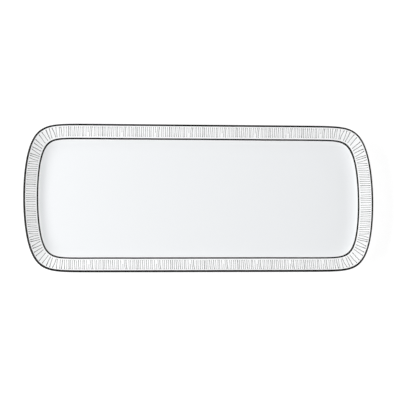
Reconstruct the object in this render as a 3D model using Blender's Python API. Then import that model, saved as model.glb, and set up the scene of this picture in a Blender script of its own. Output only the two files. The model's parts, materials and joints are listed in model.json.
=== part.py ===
"""China serving platter: a long porcelain tray with a broad sloping rim, standing on a bare foot ring.

Blender 4.5, metres, +Z up. The origin is the middle of the plane that the foot stands on, +X runs
along the platter and +Y across it. The body, its foot, the two black enamel lines and the four
transfer sections of the hatched border are separate solids, FIT_GAP apart.
"""

import math

import bmesh
import bpy

# Outer size
LENGTH = 0.392
WIDTH = 0.1646
HEIGHT = 0.0185

# Outline at a given inset from the edge:
#     |x / (LENGTH / 2 - inset)| ** power + |y / (WIDTH / 2 - inset)| ** 2 = 1
# A high power keeps the long sides straight and lets the ends bow. It grows with the inset, so the
# corners of the well turn tighter than the corners of the rim.
EDGE_POWER = 17.4
POWER_PER_METRE = 500.0

# Stations round the outline: lines that start square off the sides of a core rectangle and fan
# round its corners. Every ring of the platter crosses the same stations.
CORE_X = 0.150
CORE_Y = 0.036
SIDE_STEPS = 6
CORNER_STEPS = 12
END_STEPS = 4

# Rim: a rounded lip, then a face that slopes down to the shoulder
LIP_RADIUS = 0.0013
RIM_SLOPE = math.radians(21.0)
SHOULDER_INSET = 0.016
LIP_STEPS = 6

# Well: a hollow cove from the shoulder down to the flat floor
FLOOR_INSET = 0.035
FLOOR_HEIGHT = 0.0085
COVE_POWER = 3
COVE_STEPS = 6

# Underside: the rim thickens towards the wall, which runs down to the flat base
UNDER_SHOULDER_INSET = 0.0148
SHOULDER_THICKNESS = 0.0036
BASE_INSET = 0.033
BASE_HEIGHT = 0.0045
WALL_POWER = 2
WALL_STEPS = 5

# Foot: a tapered ring with a narrow ground edge to stand on
FOOT_INSET = 0.03325
FOOT_TOP_WIDTH = 0.0055
FOOT_HEEL_WIDTH = 0.0034
FOOT_BEARING_WIDTH = 0.0024
FOOT_HEEL_HEIGHT = 0.0006

# Decoration: enamel and transfer lie on the glaze as thin layers
FIT_GAP = 0.0003
LAYER = 0.0003
EDGE_LINE_FROM = math.radians(2.0)
EDGE_LINE_TO = math.radians(-110.0)
EDGE_LINE_STEPS = 5
INNER_LINE_WIDTH = 0.00145
HATCH_FROM = 0.0030
HATCH_TO = 0.0140
HATCH_JOINT = 0.0004

LIP_INSET = LIP_RADIUS + FIT_GAP + LAYER
LIP_HEIGHT = HEIGHT - LIP_INSET


def clear_scene():
    for obj in list(bpy.data.objects):
        bpy.data.objects.remove(obj)


def material(name, colour, roughness):
    made = bpy.data.materials.new(name)
    made.use_nodes = True
    shader = made.node_tree.nodes["Principled BSDF"]
    shader.inputs["Base Color"].default_value = (*colour, 1.0)
    shader.inputs["Roughness"].default_value = roughness
    shader.inputs["Metallic"].default_value = 0.0
    made.diffuse_color = (*colour, 1.0)
    return made


def side_stations(reach):
    """Stations (x, y, direction x, direction y) along the back, from x = reach to x = -reach."""
    angles = [math.pi * step / (2 * SIDE_STEPS) for step in range(2 * SIDE_STEPS + 1)]
    return [(reach * math.cos(angle), CORE_Y, 0.0, 1.0) for angle in angles]


def end_stations():
    """Stations of the right end: round the front corner, up the end and round the back corner."""
    fan = []
    for step in range(CORNER_STEPS + 1):
        angle = math.pi / 2 * step / CORNER_STEPS
        fan.append((CORE_X, CORE_Y, math.cos(angle), math.sin(angle)))
    front_fan = [(x, -y, along_x, -along_y) for x, y, along_x, along_y in fan[::-1]]
    middle = []
    for step in range(1 - END_STEPS, END_STEPS):
        y = CORE_Y * math.sin(math.pi / 2 * step / END_STEPS)
        middle.append((CORE_X, y, 1.0, 0.0))
    return front_fan + middle + fan


def turned(stations):
    """The same stations after half a turn about the vertical."""
    return [(-x, -y, -along_x, -along_y) for x, y, along_x, along_y in stations]


def all_stations():
    """Every station once, anticlockwise."""
    half = end_stations() + side_stations(CORE_X)[1:-1]
    return half + turned(half)


def crossing(station, inset):
    """Where a station crosses the outline at this inset, found by halving the interval."""
    x, y, along_x, along_y = station
    half_length = LENGTH / 2 - inset
    half_width = WIDTH / 2 - inset
    power = EDGE_POWER + POWER_PER_METRE * inset
    near, far = 0.0, WIDTH
    for _ in range(40):
        middle = (near + far) / 2
        reach_x = abs(x + middle * along_x) / half_length
        reach_y = abs(y + middle * along_y) / half_width
        if reach_x**power + reach_y**2 < 1.0:
            near = middle
        else:
            far = middle
    return x + near * along_x, y + near * along_y


def lip_point(radius, angle):
    """Point (inset, height) round the lip. Angle 0 is straight up, and it grows inwards."""
    return LIP_INSET + radius * math.sin(angle), LIP_HEIGHT + radius * math.cos(angle)


def rim_height(inset, above=0.0):
    """Height of the rim's sloping face, or of a layer that far above it."""
    at_lip = LIP_HEIGHT + (LIP_RADIUS + above) / math.cos(RIM_SLOPE)
    return at_lip - (inset - LIP_INSET) * math.tan(RIM_SLOPE)


def hollow_curve(outer, inner, power, steps):
    """Points of a curve that falls from the outer point and levels out at the inner one."""
    points = []
    for step in range(steps + 1):
        left = 1.0 - step / steps
        inset = inner[0] + (outer[0] - inner[0]) * left
        points.append((inset, inner[1] + (outer[1] - inner[1]) * left**power))
    return points


def body_section():
    """The body from the edge of the floor, over the lip, to the edge of the base."""
    shoulder = (SHOULDER_INSET, rim_height(SHOULDER_INSET))
    cove = hollow_curve(shoulder, (FLOOR_INSET, FLOOR_HEIGHT), COVE_POWER, COVE_STEPS)
    lip = [lip_point(LIP_RADIUS, RIM_SLOPE - math.pi * step / LIP_STEPS) for step in range(LIP_STEPS + 1)]
    under_height = rim_height(UNDER_SHOULDER_INSET) - SHOULDER_THICKNESS
    under_shoulder = (UNDER_SHOULDER_INSET, under_height)
    wall = hollow_curve(under_shoulder, (BASE_INSET, BASE_HEIGHT), WALL_POWER, WALL_STEPS)
    return cove[::-1] + lip + wall


def foot_section():
    top = BASE_HEIGHT - FIT_GAP
    outer = []
    for width, height in (
        (FOOT_TOP_WIDTH, top),
        (FOOT_HEEL_WIDTH, FOOT_HEEL_HEIGHT),
        (FOOT_BEARING_WIDTH, 0.0),
    ):
        outer.append((width / 2, height))
    inner = [(-half, height) for half, height in outer[::-1]]
    return [(FOOT_INSET - half, height) for half, height in outer + inner]


def edge_line_section():
    """A thin enamel shell wrapped round the lip, from its crest to just under its outer side."""
    outer, inner = [], []
    for step in range(EDGE_LINE_STEPS + 1):
        angle = EDGE_LINE_FROM + (EDGE_LINE_TO - EDGE_LINE_FROM) * step / EDGE_LINE_STEPS
        outer.append(lip_point(LIP_RADIUS + FIT_GAP + LAYER, angle))
        inner.append(lip_point(LIP_RADIUS + FIT_GAP, angle))
    return outer + inner[::-1]


def layer_section(inset_from, inset_to):
    """A thin layer on the rim's sloping face."""
    under = [(inset, rim_height(inset, FIT_GAP)) for inset in (inset_from, inset_to)]
    upper = [(inset, rim_height(inset, FIT_GAP + LAYER)) for inset in (inset_to, inset_from)]
    return under + upper


def loft(name, section, stations, made_of, ring=True, hollow=True):
    """One closed solid that carries a section along the stations.

    A ring goes all the way round, and an open run is capped at its two ends. A hollow section is
    a closed loop. Any other runs from the middle of the top to the middle of the underside, where
    flat faces close it.
    """
    bm = bmesh.new()
    rows = []
    for inset, height in section:
        crossings = [crossing(station, inset) for station in stations]
        rows.append([bm.verts.new((x, y, height)) for x, y in crossings])
    row_pairs = list(zip(rows, rows[1:] + rows[:1] if hollow else rows[1:]))
    for row, next_row in row_pairs:
        for i in range(len(stations) if ring else len(stations) - 1):
            j = (i + 1) % len(stations)
            bm.faces.new((row[i], row[j], next_row[j], next_row[i]))
    if not hollow:
        bm.faces.new(rows[0])
        bm.faces.new(rows[-1])
    if not ring:
        bm.faces.new([row[0] for row in rows])
        bm.faces.new([row[-1] for row in rows])
    bmesh.ops.recalc_face_normals(bm, faces=bm.faces)
    mesh = bpy.data.meshes.new(name)
    bm.to_mesh(mesh)
    bm.free()
    mesh.shade_smooth()
    mesh.set_sharp_from_angle(angle=math.radians(35.0))
    mesh.materials.append(made_of)
    obj = bpy.data.objects.new(name, mesh)
    bpy.context.scene.collection.objects.link(obj)
    return obj


def hatch_sections(made_of):
    """The border's transfer: a straight strip for each long side, and a shaped piece for each end."""
    section = layer_section(HATCH_FROM, HATCH_TO)
    side = side_stations(CORE_X - HATCH_JOINT)
    end = end_stations()
    for name, stations in (
        ("hatch_back", side),
        ("hatch_front", turned(side)),
        ("hatch_right", end),
        ("hatch_left", turned(end)),
    ):
        loft(name, section, stations, made_of, ring=False)


def main():
    clear_scene()
    glazed_porcelain = material("glazed_porcelain", (0.84, 0.85, 0.86), 0.08)
    bare_porcelain = material("bare_porcelain", (0.78, 0.76, 0.72), 0.65)
    black_enamel = material("black_enamel", (0.012, 0.012, 0.013), 0.18)
    grey_transfer = material("grey_transfer", (0.35, 0.35, 0.36), 0.2)

    stations = all_stations()
    loft("platter_body", body_section(), stations, glazed_porcelain, hollow=False)
    loft("foot_ring", foot_section(), stations, bare_porcelain)
    loft("edge_line", edge_line_section(), stations, black_enamel)
    half_line = INNER_LINE_WIDTH / 2
    inner_line = layer_section(SHOULDER_INSET - half_line, SHOULDER_INSET + half_line)
    loft("inner_line", inner_line, stations, black_enamel)
    hatch_sections(grey_transfer)


main()
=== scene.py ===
"""China serving platter: glazed body, bare foot and fired-on decoration, in a plain pale studio.

Metres, +Z up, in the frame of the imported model. Sizes and places come from the frame where it holds
them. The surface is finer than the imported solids: a glazed body with filleted foot, and enamel lines
and printed strokes that lie straight on the glaze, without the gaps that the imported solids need.
"""

import json
import math
import random

import bmesh
import bpy
import numpy as np
from mathutils import Matrix, Vector


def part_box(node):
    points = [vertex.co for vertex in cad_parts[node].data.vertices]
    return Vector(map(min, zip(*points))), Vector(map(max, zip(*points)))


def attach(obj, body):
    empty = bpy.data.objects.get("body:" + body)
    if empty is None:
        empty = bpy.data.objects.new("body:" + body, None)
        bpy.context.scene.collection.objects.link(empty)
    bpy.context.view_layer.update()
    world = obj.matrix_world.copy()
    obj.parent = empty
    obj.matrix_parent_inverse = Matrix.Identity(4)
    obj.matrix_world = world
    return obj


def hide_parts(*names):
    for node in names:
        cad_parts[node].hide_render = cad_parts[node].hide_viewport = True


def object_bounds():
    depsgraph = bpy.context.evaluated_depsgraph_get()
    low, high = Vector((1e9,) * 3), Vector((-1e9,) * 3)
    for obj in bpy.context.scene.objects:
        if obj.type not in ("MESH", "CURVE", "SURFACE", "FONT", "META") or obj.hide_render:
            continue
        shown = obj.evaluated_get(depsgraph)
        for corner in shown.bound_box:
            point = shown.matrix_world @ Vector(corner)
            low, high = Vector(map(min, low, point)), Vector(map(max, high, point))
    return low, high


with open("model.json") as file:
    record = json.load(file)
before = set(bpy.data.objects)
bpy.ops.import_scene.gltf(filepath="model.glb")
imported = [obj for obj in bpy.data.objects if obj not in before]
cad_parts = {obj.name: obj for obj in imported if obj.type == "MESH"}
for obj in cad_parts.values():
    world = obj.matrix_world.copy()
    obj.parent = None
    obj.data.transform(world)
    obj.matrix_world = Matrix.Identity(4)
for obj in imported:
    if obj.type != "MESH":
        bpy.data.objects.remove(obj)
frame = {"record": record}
cad_low, cad_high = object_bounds()

# Outer size and the places of the details, from the frame. A box gives only one border of a ring or
# a strip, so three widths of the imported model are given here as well.
HALF_LENGTH = cad_high.x
HALF_WIDTH = cad_high.y
HEIGHT = cad_high.z
INNER_LAYER_WIDTH = 0.00145
HATCH_WIDTH = 0.011
SHOULDER_INSET = HALF_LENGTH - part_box("inner_line")[1].x + INNER_LAYER_WIDTH / 2
HATCH_FROM = HALF_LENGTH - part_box("hatch_right")[1].x
HATCH_TO = HATCH_FROM + HATCH_WIDTH
HATCH_SIDE_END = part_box("hatch_back")[1].x
BASE_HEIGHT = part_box("platter_body")[0].z
FOOT_TOP_WIDTH = 0.0055
FOOT_INSET = HALF_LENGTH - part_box("foot_ring")[1].x + FOOT_TOP_WIDTH / 2
MOUNTS = {mount["name"]: mount for mount in frame["record"]["mounts"]}
FLOOR_HEIGHT = MOUNTS["well_floor"]["pos_m"][2]

# Outline at a given inset from the edge:
#     |x / (half length - inset)| ** power + |y / (half width - inset)| ** 2 = 1
EDGE_POWER = 17.4
POWER_PER_METRE = 500.0

# Stations round the outline: lines that start square off the sides of a core rectangle and fan
# round its corners
CORE_X = 0.150
CORE_Y = 0.036
SIDE_STEPS = 60
CORNER_STEPS = 64
END_STEPS = 24
FLAT_STEPS = 4

# Body: lip, rim, shoulder, cove and floor on the upper side
ENAMEL = 0.00004
LIP_RADIUS = 0.00165
LIP_INSET = LIP_RADIUS + ENAMEL
LIP_HEIGHT = HEIGHT - LIP_INSET
LIP_STEPS = 20
RIM_SLOPE = math.radians(21.0)
RIM_SAG = 0.00015
RIM_STEPS = 14
SHOULDER_ROUND = 0.0020
SHOULDER_STEPS = 10
COVE_REACH = 0.019
COVE_POWER = 3
COVE_STEPS = 20
# Heights for the painted shade of the well: full below the first, gone above the second
WELL_SHADE_FULL_BELOW = FLOOR_HEIGHT + 0.002
WELL_SHADE_GONE_ABOVE = HEIGHT - 0.005

# Body: underside, wall and the root of the foot
UNDER_SHOULDER_INSET = 0.0148
SHOULDER_THICKNESS = 0.0040
UNDER_ROUND = 0.0025
WALL_REACH = 0.0182
WALL_STEPS = 12
FOOT_ROOT_REACH = 0.0050
FOOT_ROOT_HEIGHT = 0.0020
FOOT_ROOT_WIDTH = 0.0045
FOOT_GLAZE_WIDTH = 0.0038
FOOT_GLAZE_HEIGHT = 0.0010
GLAZE_BEAD = 0.0001
GLAZE_BEAD_HEIGHT = 2.5 * GLAZE_BEAD
HEEL_WIDTH = 0.0034
HEEL_BEARING_WIDTH = 0.0022
HEEL_GAP = 0.00002
HEEL_STEPS = 5
FOOT_STEPS = 8

# The kiln leaves the rim very slightly uneven, and the foot flat
WARP = 0.00016

# Enamel lines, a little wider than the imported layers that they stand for
EDGE_LINE_FROM = math.radians(21.0)
EDGE_LINE_TO = math.radians(-112.0)
EDGE_LINE_STEPS = 18
INNER_LINE_WIDTH = 0.0017
INNER_LINE_STEPS = 8
LINE_WANDER = 0.00006
WANDER_WAVES = (5, 9, 14, 23, 37)
WANDER_SCALE = 2.2
SUNK = 0.00002

# Hatched border: thin printed strokes across the rim. STROKE_WIDTHS are multiples of a stroke's width
# at STROKE_PARTS of the way from its outer end to its inner one. It is widest just inside its two tips.
STROKE_PITCH = 0.0022
STROKE_WIDTH = 0.00042
STROKE_RELIEF = 0.00003
STROKE_EDGE = 0.000008
STROKE_PARTS = (0.0, 0.02, 0.07, 0.16, 0.5, 0.84, 0.93, 0.98, 1.0)
STROKE_WIDTHS = (0.6, 1.25, 1.35, 0.95, 0.85, 0.95, 1.2, 1.1, 0.6)
STROKE_SHAKE = 0.12
STROKE_BOW = 0.00016
WIDTH_RANGE = (0.8, 1.2)
INK_RANGE = (0.65, 1.0)
BOLD_SHARE = 0.1
BOLD_WIDTH = 1.35
OUTER_ENDS = (0.0, 0.03)
INNER_ENDS = (0.97, 1.0)
SHORT_SHARE = 0.03
SHORT_OUTER_ENDS = (0.2, 0.5)
SHORT_INNER_ENDS = (0.5, 0.8)

# Long sides: a motif laid again and again. SIDE_JITTER is a part of the pitch.
SIDE_SEED = 21
SIDE_MOTIFS = 8
MOTIF_STROKES = 17
SIDE_JITTER = 0.08
SIDE_LEAN = 0.0005
SIDE_LEAN_JITTER = 0.0002

# Ends. In the corner the pitch is CORNER_SPREAD times as long, a stroke CORNER_BOLDNESS times as wide,
# and the spread of its lean larger by CORNER_LEAN. The corner fades in over a part of its own length,
# and out over a part of the whole path's.
END_SEED = 8
END_JITTER = 0.14
END_LEAN = 0.0004
CORNER_LEAN = 0.0007
CORNER_SPREAD = 1.65
CORNER_BOLDNESS = 1.5
CORNER_FADE_IN = 0.3
CORNER_FADE_OUT = 0.2
CENTRE_STROKE_WIDTH = 0.00045
PATH_END_STEPS = 120
PATH_CORNER_STEPS = 240

# Camera and light. CAMERA_LEAN_X and CAMERA_LEAN_Y are how far the camera stands to the left and in
# front of its target, as parts of its distance.
CAMERA_TARGET = Vector((-0.0002, -0.0019, HEIGHT - 0.0037))
CAMERA_LEAN_X = -0.1365
CAMERA_LEAN_Y = -0.1065
CAMERA_DISTANCE = 2.068
CAMERA_ROLL = 0.01164
CAMERA_LENS = 167.7
KEY_PLACE = Vector((-1.45, 0.06, 0.82))
KEY_SIZE = (1.8, 0.6)
KEY_POWER = 29.1
BACK_PLACE = Vector((0.0, 1.3, 1.2))
FRONT_PLACE = Vector((0.0, -1.3, 1.2))
BACK_FRONT_SIZE = (2.0, 1.2)
BACK_FRONT_POWER = 5.8
RIGHT_PLACE = Vector((1.6, 0.0, 0.5))
RIGHT_SIZE = (2.0, 0.8)
RIGHT_POWER = 13.7
DOME_LIGHT = 0.315
HORIZON_LIGHT = 1.0
HORIZON_BAND = 0.12
FLOOR_SIZE = 40.0
FLOOR_GLOW = 0.68


# Outline and stations


def station_list():
    """Every station (x, y, direction x, direction y) once, anticlockwise."""
    fan = []
    for step in range(CORNER_STEPS + 1):
        angle = math.pi / 2 * step / CORNER_STEPS
        fan.append((CORE_X, CORE_Y, math.cos(angle), math.sin(angle)))
    front_fan = [(x, -y, along_x, -along_y) for x, y, along_x, along_y in fan[::-1]]
    end = [(CORE_X, y, 1.0, 0.0) for y in even_steps(-CORE_Y, CORE_Y, END_STEPS)[1:-1]]
    side = [(x, CORE_Y, 0.0, 1.0) for x in even_steps(CORE_X, -CORE_X, SIDE_STEPS)[1:-1]]
    half = front_fan + end + fan + side
    turned = [(-x, -y, -along_x, -along_y) for x, y, along_x, along_y in half]
    return np.array(half + turned)


def even_steps(first, last, steps):
    return [first + (last - first) * step / steps for step in range(steps + 1)]


def crossing(stations, inset):
    """Where stations cross the outline at an inset, as an array (..., 2), by halving the interval."""
    start = stations[..., :2]
    along = stations[..., 2:]
    inset = np.asarray(inset, float)
    power = EDGE_POWER + POWER_PER_METRE * inset
    near = np.zeros(np.broadcast_shapes(start.shape[:-1], inset.shape))
    far = np.full(near.shape, 2 * HALF_WIDTH)
    for _ in range(40):
        middle = (near + far) / 2
        x = np.abs(start[..., 0] + middle * along[..., 0]) / (HALF_LENGTH - inset)
        y = np.abs(start[..., 1] + middle * along[..., 1]) / (HALF_WIDTH - inset)
        inside = x**power + y**2 < 1.0
        near = np.where(inside, middle, near)
        far = np.where(inside, far, middle)
    return start + near[..., None] * along


def warped(x, y, height):
    """Height with the kiln's slight unevenness, which grows from nothing at the foot: one slow wave
    along the platter and one mostly across it."""
    along = np.sin(2.1 * math.pi * x / HALF_LENGTH + 0.7)
    across = np.cos(1.4 * math.pi * y / HALF_WIDTH - 1.1 * x / HALF_LENGTH)
    return height + WARP * (height / HEIGHT) ** 1.5 * (0.6 * along + 0.4 * across)


def place(stations, inset, height):
    """Points (..., 3) where stations cross the outline at an inset, at a height."""
    flat = crossing(stations, inset)
    height = np.broadcast_to(height, flat.shape[:-1])
    return np.dstack([flat, warped(flat[..., 0], flat[..., 1], height)])


# Section of the body, as lists of (inset, height)


def bend(first, corner, last, steps):
    """A quadratic curve from the first point to the last that is drawn towards the corner."""
    points = []
    for step in range(steps + 1):
        t = step / steps
        weights = ((1 - t) ** 2, 2 * t * (1 - t), t**2)
        points.append(tuple(np.dot(weights, axis) for axis in zip(first, corner, last)))
    return points


def lip_point(radius, angle):
    """Point round the lip. Angle 0 is straight up, and it grows inwards."""
    return LIP_INSET + radius * math.sin(angle), LIP_HEIGHT + radius * math.cos(angle)


def rim_height(inset):
    """Height of the rim's upper face, which sags a little between the lip and the shoulder."""
    start = lip_point(LIP_RADIUS, RIM_SLOPE)
    part = (inset - start[0]) / (SHOULDER_INSET - start[0])
    sag = RIM_SAG * math.sin(math.pi * part) ** 2
    return start[1] - (inset - start[0]) * math.tan(RIM_SLOPE) - sag


def cove_height(inset):
    left = max(1.0 - (inset - SHOULDER_INSET) / COVE_REACH, 0.0)
    return FLOOR_HEIGHT + (rim_height(SHOULDER_INSET) - FLOOR_HEIGHT) * left**COVE_POWER


def wall_height(inset):
    left = max(1.0 - (inset - UNDER_SHOULDER_INSET) / WALL_REACH, 0.0)
    return BASE_HEIGHT + (under_shoulder_height() - BASE_HEIGHT) * left**2


def under_shoulder_height():
    return rim_height(UNDER_SHOULDER_INSET) - SHOULDER_THICKNESS


def upper_section():
    """From the edge of the floor up the cove and the rim to where the lip begins."""
    inner, outer = SHOULDER_INSET + SHOULDER_ROUND, SHOULDER_INSET - SHOULDER_ROUND
    cove_insets = even_steps(SHOULDER_INSET + COVE_REACH, inner, COVE_STEPS)
    cove = [(inset, cove_height(inset)) for inset in cove_insets]
    peak = (SHOULDER_INSET, rim_height(SHOULDER_INSET))
    shoulder = bend(cove[-1], peak, (outer, rim_height(outer)), SHOULDER_STEPS)
    lip_start = lip_point(LIP_RADIUS, RIM_SLOPE)[0]
    rim = [(inset, rim_height(inset)) for inset in even_steps(outer, lip_start, RIM_STEPS)]
    return cove + shoulder[1:] + rim[1:]


def lip_section(radius, first, last, steps):
    return [lip_point(radius, angle) for angle in even_steps(first, last, steps)]


def foot_section():
    """The glazed part of the foot, from its outer root round its open edge to its inner root."""
    root = FOOT_TOP_WIDTH / 2
    half = FOOT_ROOT_WIDTH / 2
    edge = FOOT_GLAZE_WIDTH / 2
    outer_root = FOOT_INSET - root - FOOT_ROOT_REACH
    start = (outer_root, wall_height(outer_root))
    corner = (FOOT_INSET - root, wall_height(FOOT_INSET - root))
    outer = bend(start, corner, (FOOT_INSET - half, FOOT_ROOT_HEIGHT), FOOT_STEPS)
    outer.append((FOOT_INSET - edge - GLAZE_BEAD, FOOT_GLAZE_HEIGHT + GLAZE_BEAD_HEIGHT))
    outer.append((FOOT_INSET - edge - GLAZE_BEAD, FOOT_GLAZE_HEIGHT + GLAZE_BEAD))
    outer.append((FOOT_INSET - edge, FOOT_GLAZE_HEIGHT))
    inner = [(2 * FOOT_INSET - inset, height) for inset, height in outer[::-1]]
    levelled = [(inset, min(height, BASE_HEIGHT)) for inset, height in inner]
    return outer + levelled


def under_section():
    """From the end of the lip along the underside, down the wall and over the foot to the base."""
    lip_end = lip_point(LIP_RADIUS, RIM_SLOPE - math.pi)
    peak = (UNDER_SHOULDER_INSET, under_shoulder_height())
    inner = UNDER_SHOULDER_INSET + UNDER_ROUND
    outer = UNDER_SHOULDER_INSET - UNDER_ROUND
    part = (outer - lip_end[0]) / (peak[0] - lip_end[0])
    outer_point = (outer, lip_end[1] + (peak[1] - lip_end[1]) * part)
    foot = foot_section()
    rounded = bend(outer_point, peak, (inner, wall_height(inner)), SHOULDER_STEPS)
    wall = [(inset, wall_height(inset)) for inset in even_steps(inner, foot[0][0], WALL_STEPS)]
    return rounded + wall[1:-1] + foot


# Mesh making


def link(name, mesh, made_of):
    for polygon in mesh.polygons:
        polygon.use_smooth = True
    mesh.materials.append(made_of)
    obj = bpy.data.objects.new(name, mesh)
    bpy.context.scene.collection.objects.link(obj)
    return obj


def mesh_from(name, bm):
    bmesh.ops.recalc_face_normals(bm, faces=bm.faces)
    mesh = bpy.data.meshes.new(name)
    bm.to_mesh(mesh)
    bm.free()
    return mesh


def skin(bm, rows, around=True, closed=False):
    """Faces between consecutive rows of points. Around joins each row's ends, closed the last row
    to the first."""
    verts = [[bm.verts.new(point) for point in row] for row in rows]
    followers = verts[1:] + verts[:1] if closed else verts[1:]
    count = len(rows[0])
    for row, following in zip(verts, followers):
        for i in range(count if around else count - 1):
            j = (i + 1) % count
            bm.faces.new((row[i], row[j], following[j], following[i]))


def flat_rows(stations, inset, height):
    """Rows that widen from the core rectangle to the outline at an inset, all at one height."""
    edge = crossing(stations, inset)
    rows = []
    for step in range(FLAT_STEPS):
        flat = stations[:, :2] + (edge - stations[:, :2]) * step / FLAT_STEPS
        rows.append(np.column_stack([flat, warped(flat[:, 0], flat[:, 1], height)]))
    return rows


def core_grid(bm, height):
    """The middle of a flat face: a grid over the core rectangle."""
    columns = even_steps(-CORE_X, CORE_X, SIDE_STEPS)
    lines = even_steps(-CORE_Y, CORE_Y, END_STEPS)
    rows = [[(x, y, float(warped(x, y, height))) for x in columns] for y in lines]
    skin(bm, rows, around=False)


def body_piece(stations, made_of):
    lip = lip_section(LIP_RADIUS, RIM_SLOPE, RIM_SLOPE - math.pi, LIP_STEPS)
    section = np.array(upper_section() + lip[1:] + under_section())
    rows = list(place(stations, section[:, :1], section[:, 1:]))
    top = flat_rows(stations, section[0, 0], FLOOR_HEIGHT)
    base = flat_rows(stations, section[-1, 0], BASE_HEIGHT)
    bm = bmesh.new()
    skin(bm, top + rows + base[::-1])
    core_grid(bm, FLOOR_HEIGHT)
    core_grid(bm, BASE_HEIGHT)
    bmesh.ops.remove_doubles(bm, verts=bm.verts, dist=1e-6)
    return link("glazed_body", mesh_from("glazed_body", bm), made_of)


def ring_piece(name, stations, insets, heights, made_of):
    """A closed ring. Insets and heights are arrays of section points by stations."""
    bm = bmesh.new()
    skin(bm, place(stations, insets, heights), closed=True)
    return link(name, mesh_from(name, bm), made_of)


def heel_piece(stations, made_of):
    """The bare edge that the platter stands on, with its ground face and rounded corners."""
    half = HEEL_WIDTH / 2
    bearing = HEEL_BEARING_WIDTH / 2
    top = FOOT_GLAZE_HEIGHT - HEEL_GAP
    rounded = bend((half, top / 2), (half, 0.0), (bearing, 0.0), HEEL_STEPS)
    side = [(half, top)] + rounded
    section = np.array(side + [(-across, height) for across, height in side[::-1]])
    return ring_piece("bare_foot", stations, FOOT_INSET - section[:, :1], section[:, 1:], made_of)


# Enamel lines


def wander(stations, seed, size):
    """A slow drift along the outline, as a painted line has it: one value for each station."""
    draw = random.Random(seed)
    turn = np.linspace(0.0, 2 * math.pi, len(stations), endpoint=False)
    drift = np.zeros(len(stations))
    for waves in WANDER_WAVES:
        drift += math.sqrt(WANDER_WAVES[0] / waves) * np.sin(waves * turn + draw.uniform(0.0, 2 * math.pi))
    return size * drift / WANDER_SCALE


def edge_line_piece(stations, made_of):
    """Black band round the lip. It thins out to nothing at its two borders."""
    share = np.linspace(0.0, 1.0, EDGE_LINE_STEPS + 1)[:, None]
    first = EDGE_LINE_FROM + wander(stations, 3, LINE_WANDER) / LIP_RADIUS
    last = EDGE_LINE_TO + wander(stations, 4, 3 * LINE_WANDER) / LIP_RADIUS
    angle = first + (last - first) * share
    thickness = ENAMEL * np.minimum(1.0, 8 * share * (1 - share)) ** 0.5
    radius = np.vstack([LIP_RADIUS + thickness + 0 * angle, LIP_RADIUS - SUNK + 0 * angle[::-1]])
    angle = np.vstack([angle, angle[::-1]])
    insets = LIP_INSET + radius * np.sin(angle)
    heights = LIP_HEIGHT + radius * np.cos(angle)
    return ring_piece("edge_band", stations, insets, heights, made_of)


def glaze_height(insets):
    """Height of the upper face at given insets."""
    section = np.array(upper_section()[::-1])
    return np.interp(insets, section[:, 0], section[:, 1])


def inner_line_piece(stations, made_of):
    across = np.linspace(-1.0, 1.0, INNER_LINE_STEPS + 1)[:, None]
    centre = SHOULDER_INSET + wander(stations, 5, LINE_WANDER)
    half = INNER_LINE_WIDTH / 2 + wander(stations, 6, LINE_WANDER / 2)
    insets = centre + half * across
    upper = glaze_height(insets) + ENAMEL * np.sqrt(1 - across**2)
    lower = glaze_height(insets) - SUNK
    insets = np.vstack([insets, insets[::-1]])
    heights = np.vstack([upper, lower[::-1]])
    return ring_piece("shoulder_line", stations, insets, heights, made_of)


# Hatched border. A stroke is (place along the rim, lean, bow, width, outer end, inner end, ink), where
# the ends are parts of the way across the border.


def drawn_stroke(draw, along, lean, boldness):
    """A stroke with a hand-drawn look: some are bold, and a few stop short at one end."""
    bold = draw.random() < BOLD_SHARE
    width = STROKE_WIDTH * boldness * draw.uniform(*WIDTH_RANGE) * (BOLD_WIDTH if bold else 1.0)
    bow = draw.gauss(0.0, STROKE_BOW)
    outer_end = draw.uniform(*OUTER_ENDS)
    inner_end = draw.uniform(*INNER_ENDS)
    if draw.random() < SHORT_SHARE:
        outer_end = draw.uniform(*SHORT_OUTER_ENDS)
    elif draw.random() < SHORT_SHARE:
        inner_end = draw.uniform(*SHORT_INNER_ENDS)
    ink = draw.uniform(*INK_RANGE)
    return along, lean, bow, width, outer_end, inner_end, ink


def side_artwork():
    """One motif, repeated along the side. Its strokes lean one way and then the other."""
    draw = random.Random(SIDE_SEED)
    length = 2 * HATCH_SIDE_END / SIDE_MOTIFS
    pitch = length / MOTIF_STROKES
    motif = []
    for number in range(MOTIF_STROKES):
        along = (number + 0.5) * pitch + draw.gauss(0.0, SIDE_JITTER * pitch)
        lean = SIDE_LEAN * math.sin(0.9 * number) + draw.gauss(0.0, SIDE_LEAN_JITTER)
        motif.append(drawn_stroke(draw, along, lean, 1.0))
    strokes = []
    for repeat in range(SIDE_MOTIFS):
        start = repeat * length - HATCH_SIDE_END
        strokes += [(start + along, *rest) for along, *rest in motif]
    return strokes


def end_artwork(length, corner_start):
    """Half an end, from its middle round the corner to where the side begins. In the corner the
    strokes are bolder and stand further apart."""
    draw = random.Random(END_SEED)
    places = []
    corners = []
    along = 0.9 * STROKE_PITCH
    while along < length:
        fade_in = CORNER_FADE_IN * (length - corner_start)
        into_corner = min(1.0, max(0.0, (along - corner_start) / fade_in))
        out_of_corner = min(1.0, (length - along) / (CORNER_FADE_OUT * length))
        corner = into_corner * out_of_corner
        places.append(along)
        corners.append(corner)
        spread = 1 + (CORNER_SPREAD - 1) * corner
        along += STROKE_PITCH * spread * (1 + draw.gauss(0.0, END_JITTER))
    fit = (length - STROKE_PITCH / 2) / places[-1]
    strokes = []
    for along, corner in zip(places, corners):
        lean = draw.gauss(0.0, END_LEAN + CORNER_LEAN * corner)
        strokes.append(drawn_stroke(draw, along * fit, lean, 1 + (CORNER_BOLDNESS - 1) * corner))
    return strokes


def side_path(along):
    """Stations of the back at distances along it."""
    along = np.asarray(along)
    return np.stack([along, 0 * along + CORE_Y, 0 * along, 0 * along + 1.0], axis=-1)


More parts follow.
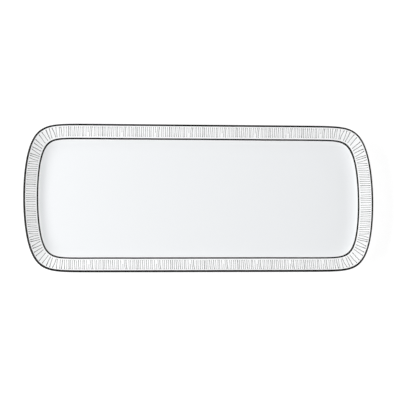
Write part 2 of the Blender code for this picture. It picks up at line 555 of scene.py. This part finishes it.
def end_path():
    """A function like side_path for half the right end, the length of that path and where its
    corner begins. Distances are measured from the middle of the end along the middle of the border."""
    straight = [(CORE_X, y, 1.0, 0.0) for y in even_steps(-CORE_Y, CORE_Y, PATH_END_STEPS)]
    fan = []
    for angle in even_steps(0.0, math.pi / 2, PATH_CORNER_STEPS)[1:]:
        fan.append((CORE_X, CORE_Y, math.cos(angle), math.sin(angle)))
    stations = np.array(straight + fan)
    middle = crossing(stations, (HATCH_FROM + HATCH_TO) / 2)
    steps = np.hypot(*np.diff(middle, axis=0).T)
    reached = np.concatenate([[0.0], np.cumsum(steps)])
    reached -= np.interp(0.0, middle[:, 1], reached)
    corner_start = np.interp(CORE_Y, middle[: len(straight), 1], reached[: len(straight)])

    def path(along):
        return np.stack([np.interp(along, reached, axis) for axis in stations.T], axis=-1)

    return path, reached[-1], corner_start


def stroke_rows(strokes, path, mirror):
    """Points of every stroke: an array of strokes by rows by four corners of a flat diamond."""
    columns = [np.array(column)[:, None] for column in zip(*strokes)]
    along, lean, bow, width, outer_end, inner_end, _ = columns
    part = np.array(STROKE_PARTS)[None, :]
    centre = along + lean * (part - 0.5) + bow * (1 - (2 * part - 1) ** 2)
    centre = centre + STROKE_SHAKE * width * np.sin(9.0 * part + 4000.0 * along)
    half = width / 2 * np.array(STROKE_WIDTHS)[None, :]
    inset = HATCH_FROM + (HATCH_TO - HATCH_FROM) * (outer_end + (inner_end - outer_end) * part)
    height = glaze_height(inset)
    corners = []
    for across, rise in ((-1, STROKE_EDGE), (0, STROKE_RELIEF), (1, STROKE_EDGE), (0, -SUNK)):
        corners.append(place(path(centre + across * half) * mirror, inset, height + rise))
    return np.stack(corners, axis=2)


def add_strokes(bm, strokes, path, mirror_x=1.0, mirror_y=1.0):
    """Each stroke as a closed sliver. Its ink goes with its points."""
    ink = bm.verts.layers.float.get("ink") or bm.verts.layers.float.new("ink")
    mirror = np.array([mirror_x, mirror_y, mirror_x, mirror_y])
    for stroke, rows in zip(strokes, stroke_rows(strokes, path, mirror)):
        verts = [[bm.verts.new(point) for point in row] for row in rows]
        for row in verts:
            for vert in row:
                vert[ink] = stroke[-1]
        for row, following in zip(verts, verts[1:]):
            for i in range(4):
                j = (i + 1) % 4
                bm.faces.new((row[i], row[j], following[j], following[i]))
        bm.faces.new(verts[0])
        bm.faces.new(verts[-1])


def hatch_pieces(made_of):
    """The border's strokes: a piece for each long side and each end, keyed by the node it stands for."""
    pieces = {}
    strokes = side_artwork()
    for node, mirror_y in (("hatch_back", 1.0), ("hatch_front", -1.0)):
        bm = bmesh.new()
        add_strokes(bm, strokes, side_path, mirror_y=mirror_y)
        pieces[node] = link(node + "_strokes", mesh_from(node, bm), made_of)
    path, length, corner_start = end_path()
    strokes = end_artwork(length, corner_start)
    centre_stroke = [(0.0, 0.0, 0.0, CENTRE_STROKE_WIDTH, 0.0, 1.0, 1.0)]
    for node, mirror_x in (("hatch_right", 1.0), ("hatch_left", -1.0)):
        bm = bmesh.new()
        add_strokes(bm, centre_stroke, path, mirror_x)
        for mirror_y in (1.0, -1.0):
            add_strokes(bm, strokes, path, mirror_x, mirror_y)
        pieces[node] = link(node + "_strokes", mesh_from(node, bm), made_of)
    return pieces


# Materials


class Nodes:
    """Short forms for building one material's nodes round its Principled shader."""

    def __init__(self, name):
        self.material = bpy.data.materials.new(name)
        self.material.use_nodes = True
        self.tree = self.material.node_tree
        self.shader = self.tree.nodes["Principled BSDF"]
        self.place = self.add("ShaderNodeTexCoord").outputs["Object"]

    def add(self, kind, **settings):
        node = self.tree.nodes.new(kind)
        for key, value in settings.items():
            setattr(node, key, value)
        return node

    def join(self, source, target):
        self.tree.links.new(source, target)

    def noise(self, scale, detail):
        """Noise between 0 and 1, with features about 1 / scale metres across."""
        texture = self.add("ShaderNodeTexNoise")
        texture.inputs["Scale"].default_value = scale
        texture.inputs["Detail"].default_value = detail
        self.join(self.place, texture.inputs["Vector"])
        return texture.outputs["Fac"]

    def span(self, value, low, high, to_low=0.0, to_high=1.0):
        """The value's stretch from low to high, carried over to another stretch and held there."""
        node = self.add("ShaderNodeMapRange")
        node.inputs["From Min"].default_value = low
        node.inputs["From Max"].default_value = high
        node.inputs["To Min"].default_value = to_low
        node.inputs["To Max"].default_value = to_high
        self.join(value, node.inputs["Value"])
        return node.outputs["Result"]

    def multiply(self, first, second):
        node = self.add("ShaderNodeMath", operation="MULTIPLY")
        self.join(first, node.inputs[0])
        self.join(second, node.inputs[1])
        return node.outputs["Value"]

    def blend(self, share, first, second):
        """A colour between two, each given as numbers or as another node's output."""
        node = self.add("ShaderNodeMix", data_type="RGBA")
        colour_sockets = [socket for socket in node.inputs if socket.type == "RGBA"]
        for socket, colour in zip(colour_sockets, (first, second)):
            if isinstance(colour, tuple):
                socket.default_value = (*colour, 1.0)
            else:
                self.join(colour, socket)
        self.join(share, node.inputs[0])
        return next(socket for socket in node.outputs if socket.type == "RGBA")

    def height(self):
        split = self.add("ShaderNodeSeparateXYZ")
        self.join(self.place, split.inputs["Vector"])
        return split.outputs["Z"]

    def bump(self, value, distance, under=None):
        node = self.add("ShaderNodeBump")
        node.inputs["Distance"].default_value = distance
        self.join(value, node.inputs["Height"])
        if under:
            self.join(under, node.inputs["Normal"])
        return node.outputs["Normal"]

    def finish(self, colour, roughness, normal):
        self.join(colour, self.shader.inputs["Base Color"])
        self.join(roughness, self.shader.inputs["Roughness"])
        self.join(normal, self.shader.inputs["Normal"])
        return self.material


def glazed_porcelain():
    """Cool white porcelain under clear glaze, with painted shade: its colour is a little deeper low down,
    in the well and underneath, than on the rim.
    """
    nodes = Nodes("glazed_porcelain")
    nodes.shader.inputs["IOR"].default_value = 1.52
    clouds = nodes.noise(14.0, 3.0)
    white = nodes.blend(nodes.span(clouds, 0.35, 0.65), (0.905, 0.912, 0.92), (0.92, 0.926, 0.93))
    # Painted shade: a deeper tone low down, in the well and underneath, fading to the plain white towards
    # the rim
    painted_well_shade = nodes.span(nodes.height(), WELL_SHADE_FULL_BELOW, WELL_SHADE_GONE_ABOVE)
    shaded_glaze = nodes.blend(painted_well_shade, (0.838, 0.853, 0.868), white)
    roughness = nodes.span(nodes.noise(60.0, 4.0), 0.3, 0.7, 0.045, 0.09)
    waves = nodes.bump(nodes.noise(55.0, 1.0), 0.00006)
    peel = nodes.bump(nodes.noise(650.0, 2.0), 0.000006, waves)
    return nodes.finish(shaded_glaze, roughness, peel)


def bare_porcelain():
    """Unglazed porcelain: warm, matt and fine grained, greyed where it is ground and rubbed."""
    nodes = Nodes("bare_porcelain")
    grain = nodes.noise(4200.0, 6.0)
    body = nodes.blend(nodes.span(grain, 0.3, 0.7), (0.7, 0.67, 0.62), (0.8, 0.78, 0.74))
    rubbed = nodes.multiply(
        nodes.span(nodes.height(), 0.0, 0.0004, 1.0, 0.0),
        nodes.span(nodes.noise(90.0, 5.0), 0.4, 0.7),
    )
    colour = nodes.blend(rubbed, body, (0.5, 0.48, 0.45))
    roughness = nodes.span(grain, 0.3, 0.7, 0.62, 0.82)
    return nodes.finish(colour, roughness, nodes.bump(grain, 0.00008))


def black_enamel():
    """Fired black enamel with a soft gloss, warmer where the coat is thin."""
    nodes = Nodes("black_enamel")
    coat = nodes.span(nodes.noise(260.0, 3.0), 0.35, 0.7)
    colour = nodes.blend(coat, (0.008, 0.008, 0.009), (0.022, 0.02, 0.019))
    nodes.shader.inputs["Specular IOR Level"].default_value = 0.15
    roughness = nodes.span(nodes.noise(900.0, 3.0), 0.3, 0.7, 0.2, 0.32)
    return nodes.finish(colour, roughness, nodes.bump(nodes.noise(1500.0, 2.0), 0.00001))


def transfer_ink():
    """Printed ceramic ink under a thin flux: streaky along a stroke, and denser in some strokes."""
    nodes = Nodes("grey_transfer")
    density = nodes.add("ShaderNodeAttribute", attribute_name="ink").outputs["Fac"]
    streaks = nodes.span(nodes.noise(1800.0, 3.0), 0.3, 0.7, 0.72, 1.0)
    share = nodes.multiply(density, streaks)
    colour = nodes.blend(share, (0.22, 0.22, 0.225), (0.012, 0.012, 0.013))
    roughness = nodes.span(nodes.noise(700.0, 2.0), 0.3, 0.7, 0.12, 0.22)
    return nodes.finish(colour, roughness, nodes.bump(nodes.noise(2500.0, 2.0), 0.000008))


def studio_floor_material():
    """Smooth pale card, lit a little from behind."""
    nodes = Nodes("studio_card")
    fibres = nodes.noise(180.0, 4.0)
    colour = nodes.blend(nodes.span(fibres, 0.3, 0.7), (0.39, 0.39, 0.39), (0.41, 0.41, 0.41))
    nodes.shader.inputs["Emission Color"].default_value = (1.0, 1.0, 1.0, 1.0)
    nodes.shader.inputs["Emission Strength"].default_value = FLOOR_GLOW
    roughness = nodes.span(fibres, 0.3, 0.7, 0.75, 0.85)
    return nodes.finish(colour, roughness, nodes.bump(fibres, 0.00005))


# Studio


def studio_floor():
    bm = bmesh.new()
    bmesh.ops.create_grid(bm, x_segments=8, y_segments=8, size=FLOOR_SIZE / 2)
    bmesh.ops.translate(bm, verts=bm.verts, vec=(0.0, 0.0, -SUNK))
    link("studio_floor", mesh_from("studio_floor", bm), studio_floor_material())


def soft_light(name, place_at, size, power):
    """A rectangular soft light that faces the middle of the platter."""
    light = bpy.data.lights.new(name, "AREA")
    light.shape = "RECTANGLE"
    light.size, light.size_y = size
    light.energy = power
    lamp = bpy.data.objects.new(name, light)
    lamp.location = place_at
    lamp.rotation_euler = (-place_at).to_track_quat("-Z", "Y").to_euler()
    bpy.context.scene.collection.objects.link(lamp)


def studio_light():
    """A long soft light from the left, and weaker ones from behind, in front and the right."""
    soft_light("key_light", KEY_PLACE, KEY_SIZE, KEY_POWER)
    soft_light("back_fill", BACK_PLACE, BACK_FRONT_SIZE, BACK_FRONT_POWER)
    soft_light("front_fill", FRONT_PLACE, BACK_FRONT_SIZE, BACK_FRONT_POWER)
    soft_light("right_fill", RIGHT_PLACE, RIGHT_SIZE, RIGHT_POWER)


def studio_dome():
    """Even light from all round, with a bright band at the horizon behind the floor."""
    world = bpy.data.worlds.new("studio_dome")
    world.use_nodes = True
    tree = world.node_tree
    direction = tree.nodes.new("ShaderNodeTexCoord")
    split = tree.nodes.new("ShaderNodeSeparateXYZ")
    fade = tree.nodes.new("ShaderNodeMapRange")
    fade.inputs["From Max"].default_value = HORIZON_BAND
    fade.inputs["To Min"].default_value = HORIZON_LIGHT
    fade.inputs["To Max"].default_value = DOME_LIGHT
    background = tree.nodes["Background"]
    background.inputs["Color"].default_value = (1.0, 1.0, 1.0, 1.0)
    tree.links.new(direction.outputs["Generated"], split.inputs["Vector"])
    tree.links.new(split.outputs["Z"], fade.inputs["Value"])
    tree.links.new(fade.outputs["Result"], background.inputs["Strength"])
    bpy.context.scene.world = world


def studio_camera():
    """A long lens, almost straight above, leaning a little to the left and the front."""
    upright = math.sqrt(1 - CAMERA_LEAN_X**2 - CAMERA_LEAN_Y**2)
    back = Vector((CAMERA_LEAN_X, CAMERA_LEAN_Y, upright))
    right = Vector((math.sin(CAMERA_ROLL), math.cos(CAMERA_ROLL), 0.0)).cross(back).normalized()
    up = back.cross(right)
    data = bpy.data.cameras.new("camera")
    data.lens = CAMERA_LENS
    data.sensor_width = 36.0
    camera = bpy.data.objects.new("camera", data)
    turn = Matrix((right, up, back)).transposed().to_4x4()
    camera.matrix_world = Matrix.Translation(CAMERA_TARGET + back * CAMERA_DISTANCE) @ turn
    bpy.context.scene.collection.objects.link(camera)
    bpy.context.scene.camera = camera


def main():
    studio_camera()
    studio_floor()
    studio_light()
    studio_dome()
    bpy.context.scene.view_settings.view_transform = "Standard"

    stations = station_list()
    enamel = black_enamel()
    pieces = {
        "platter_body": body_piece(stations, glazed_porcelain()),
        "foot_ring": heel_piece(stations, bare_porcelain()),
        "edge_line": edge_line_piece(stations, enamel),
        "inner_line": inner_line_piece(stations, enamel),
    }
    pieces.update(hatch_pieces(transfer_ink()))
    for node, piece in pieces.items():
        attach(piece, "root")
        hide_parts(node)


main()
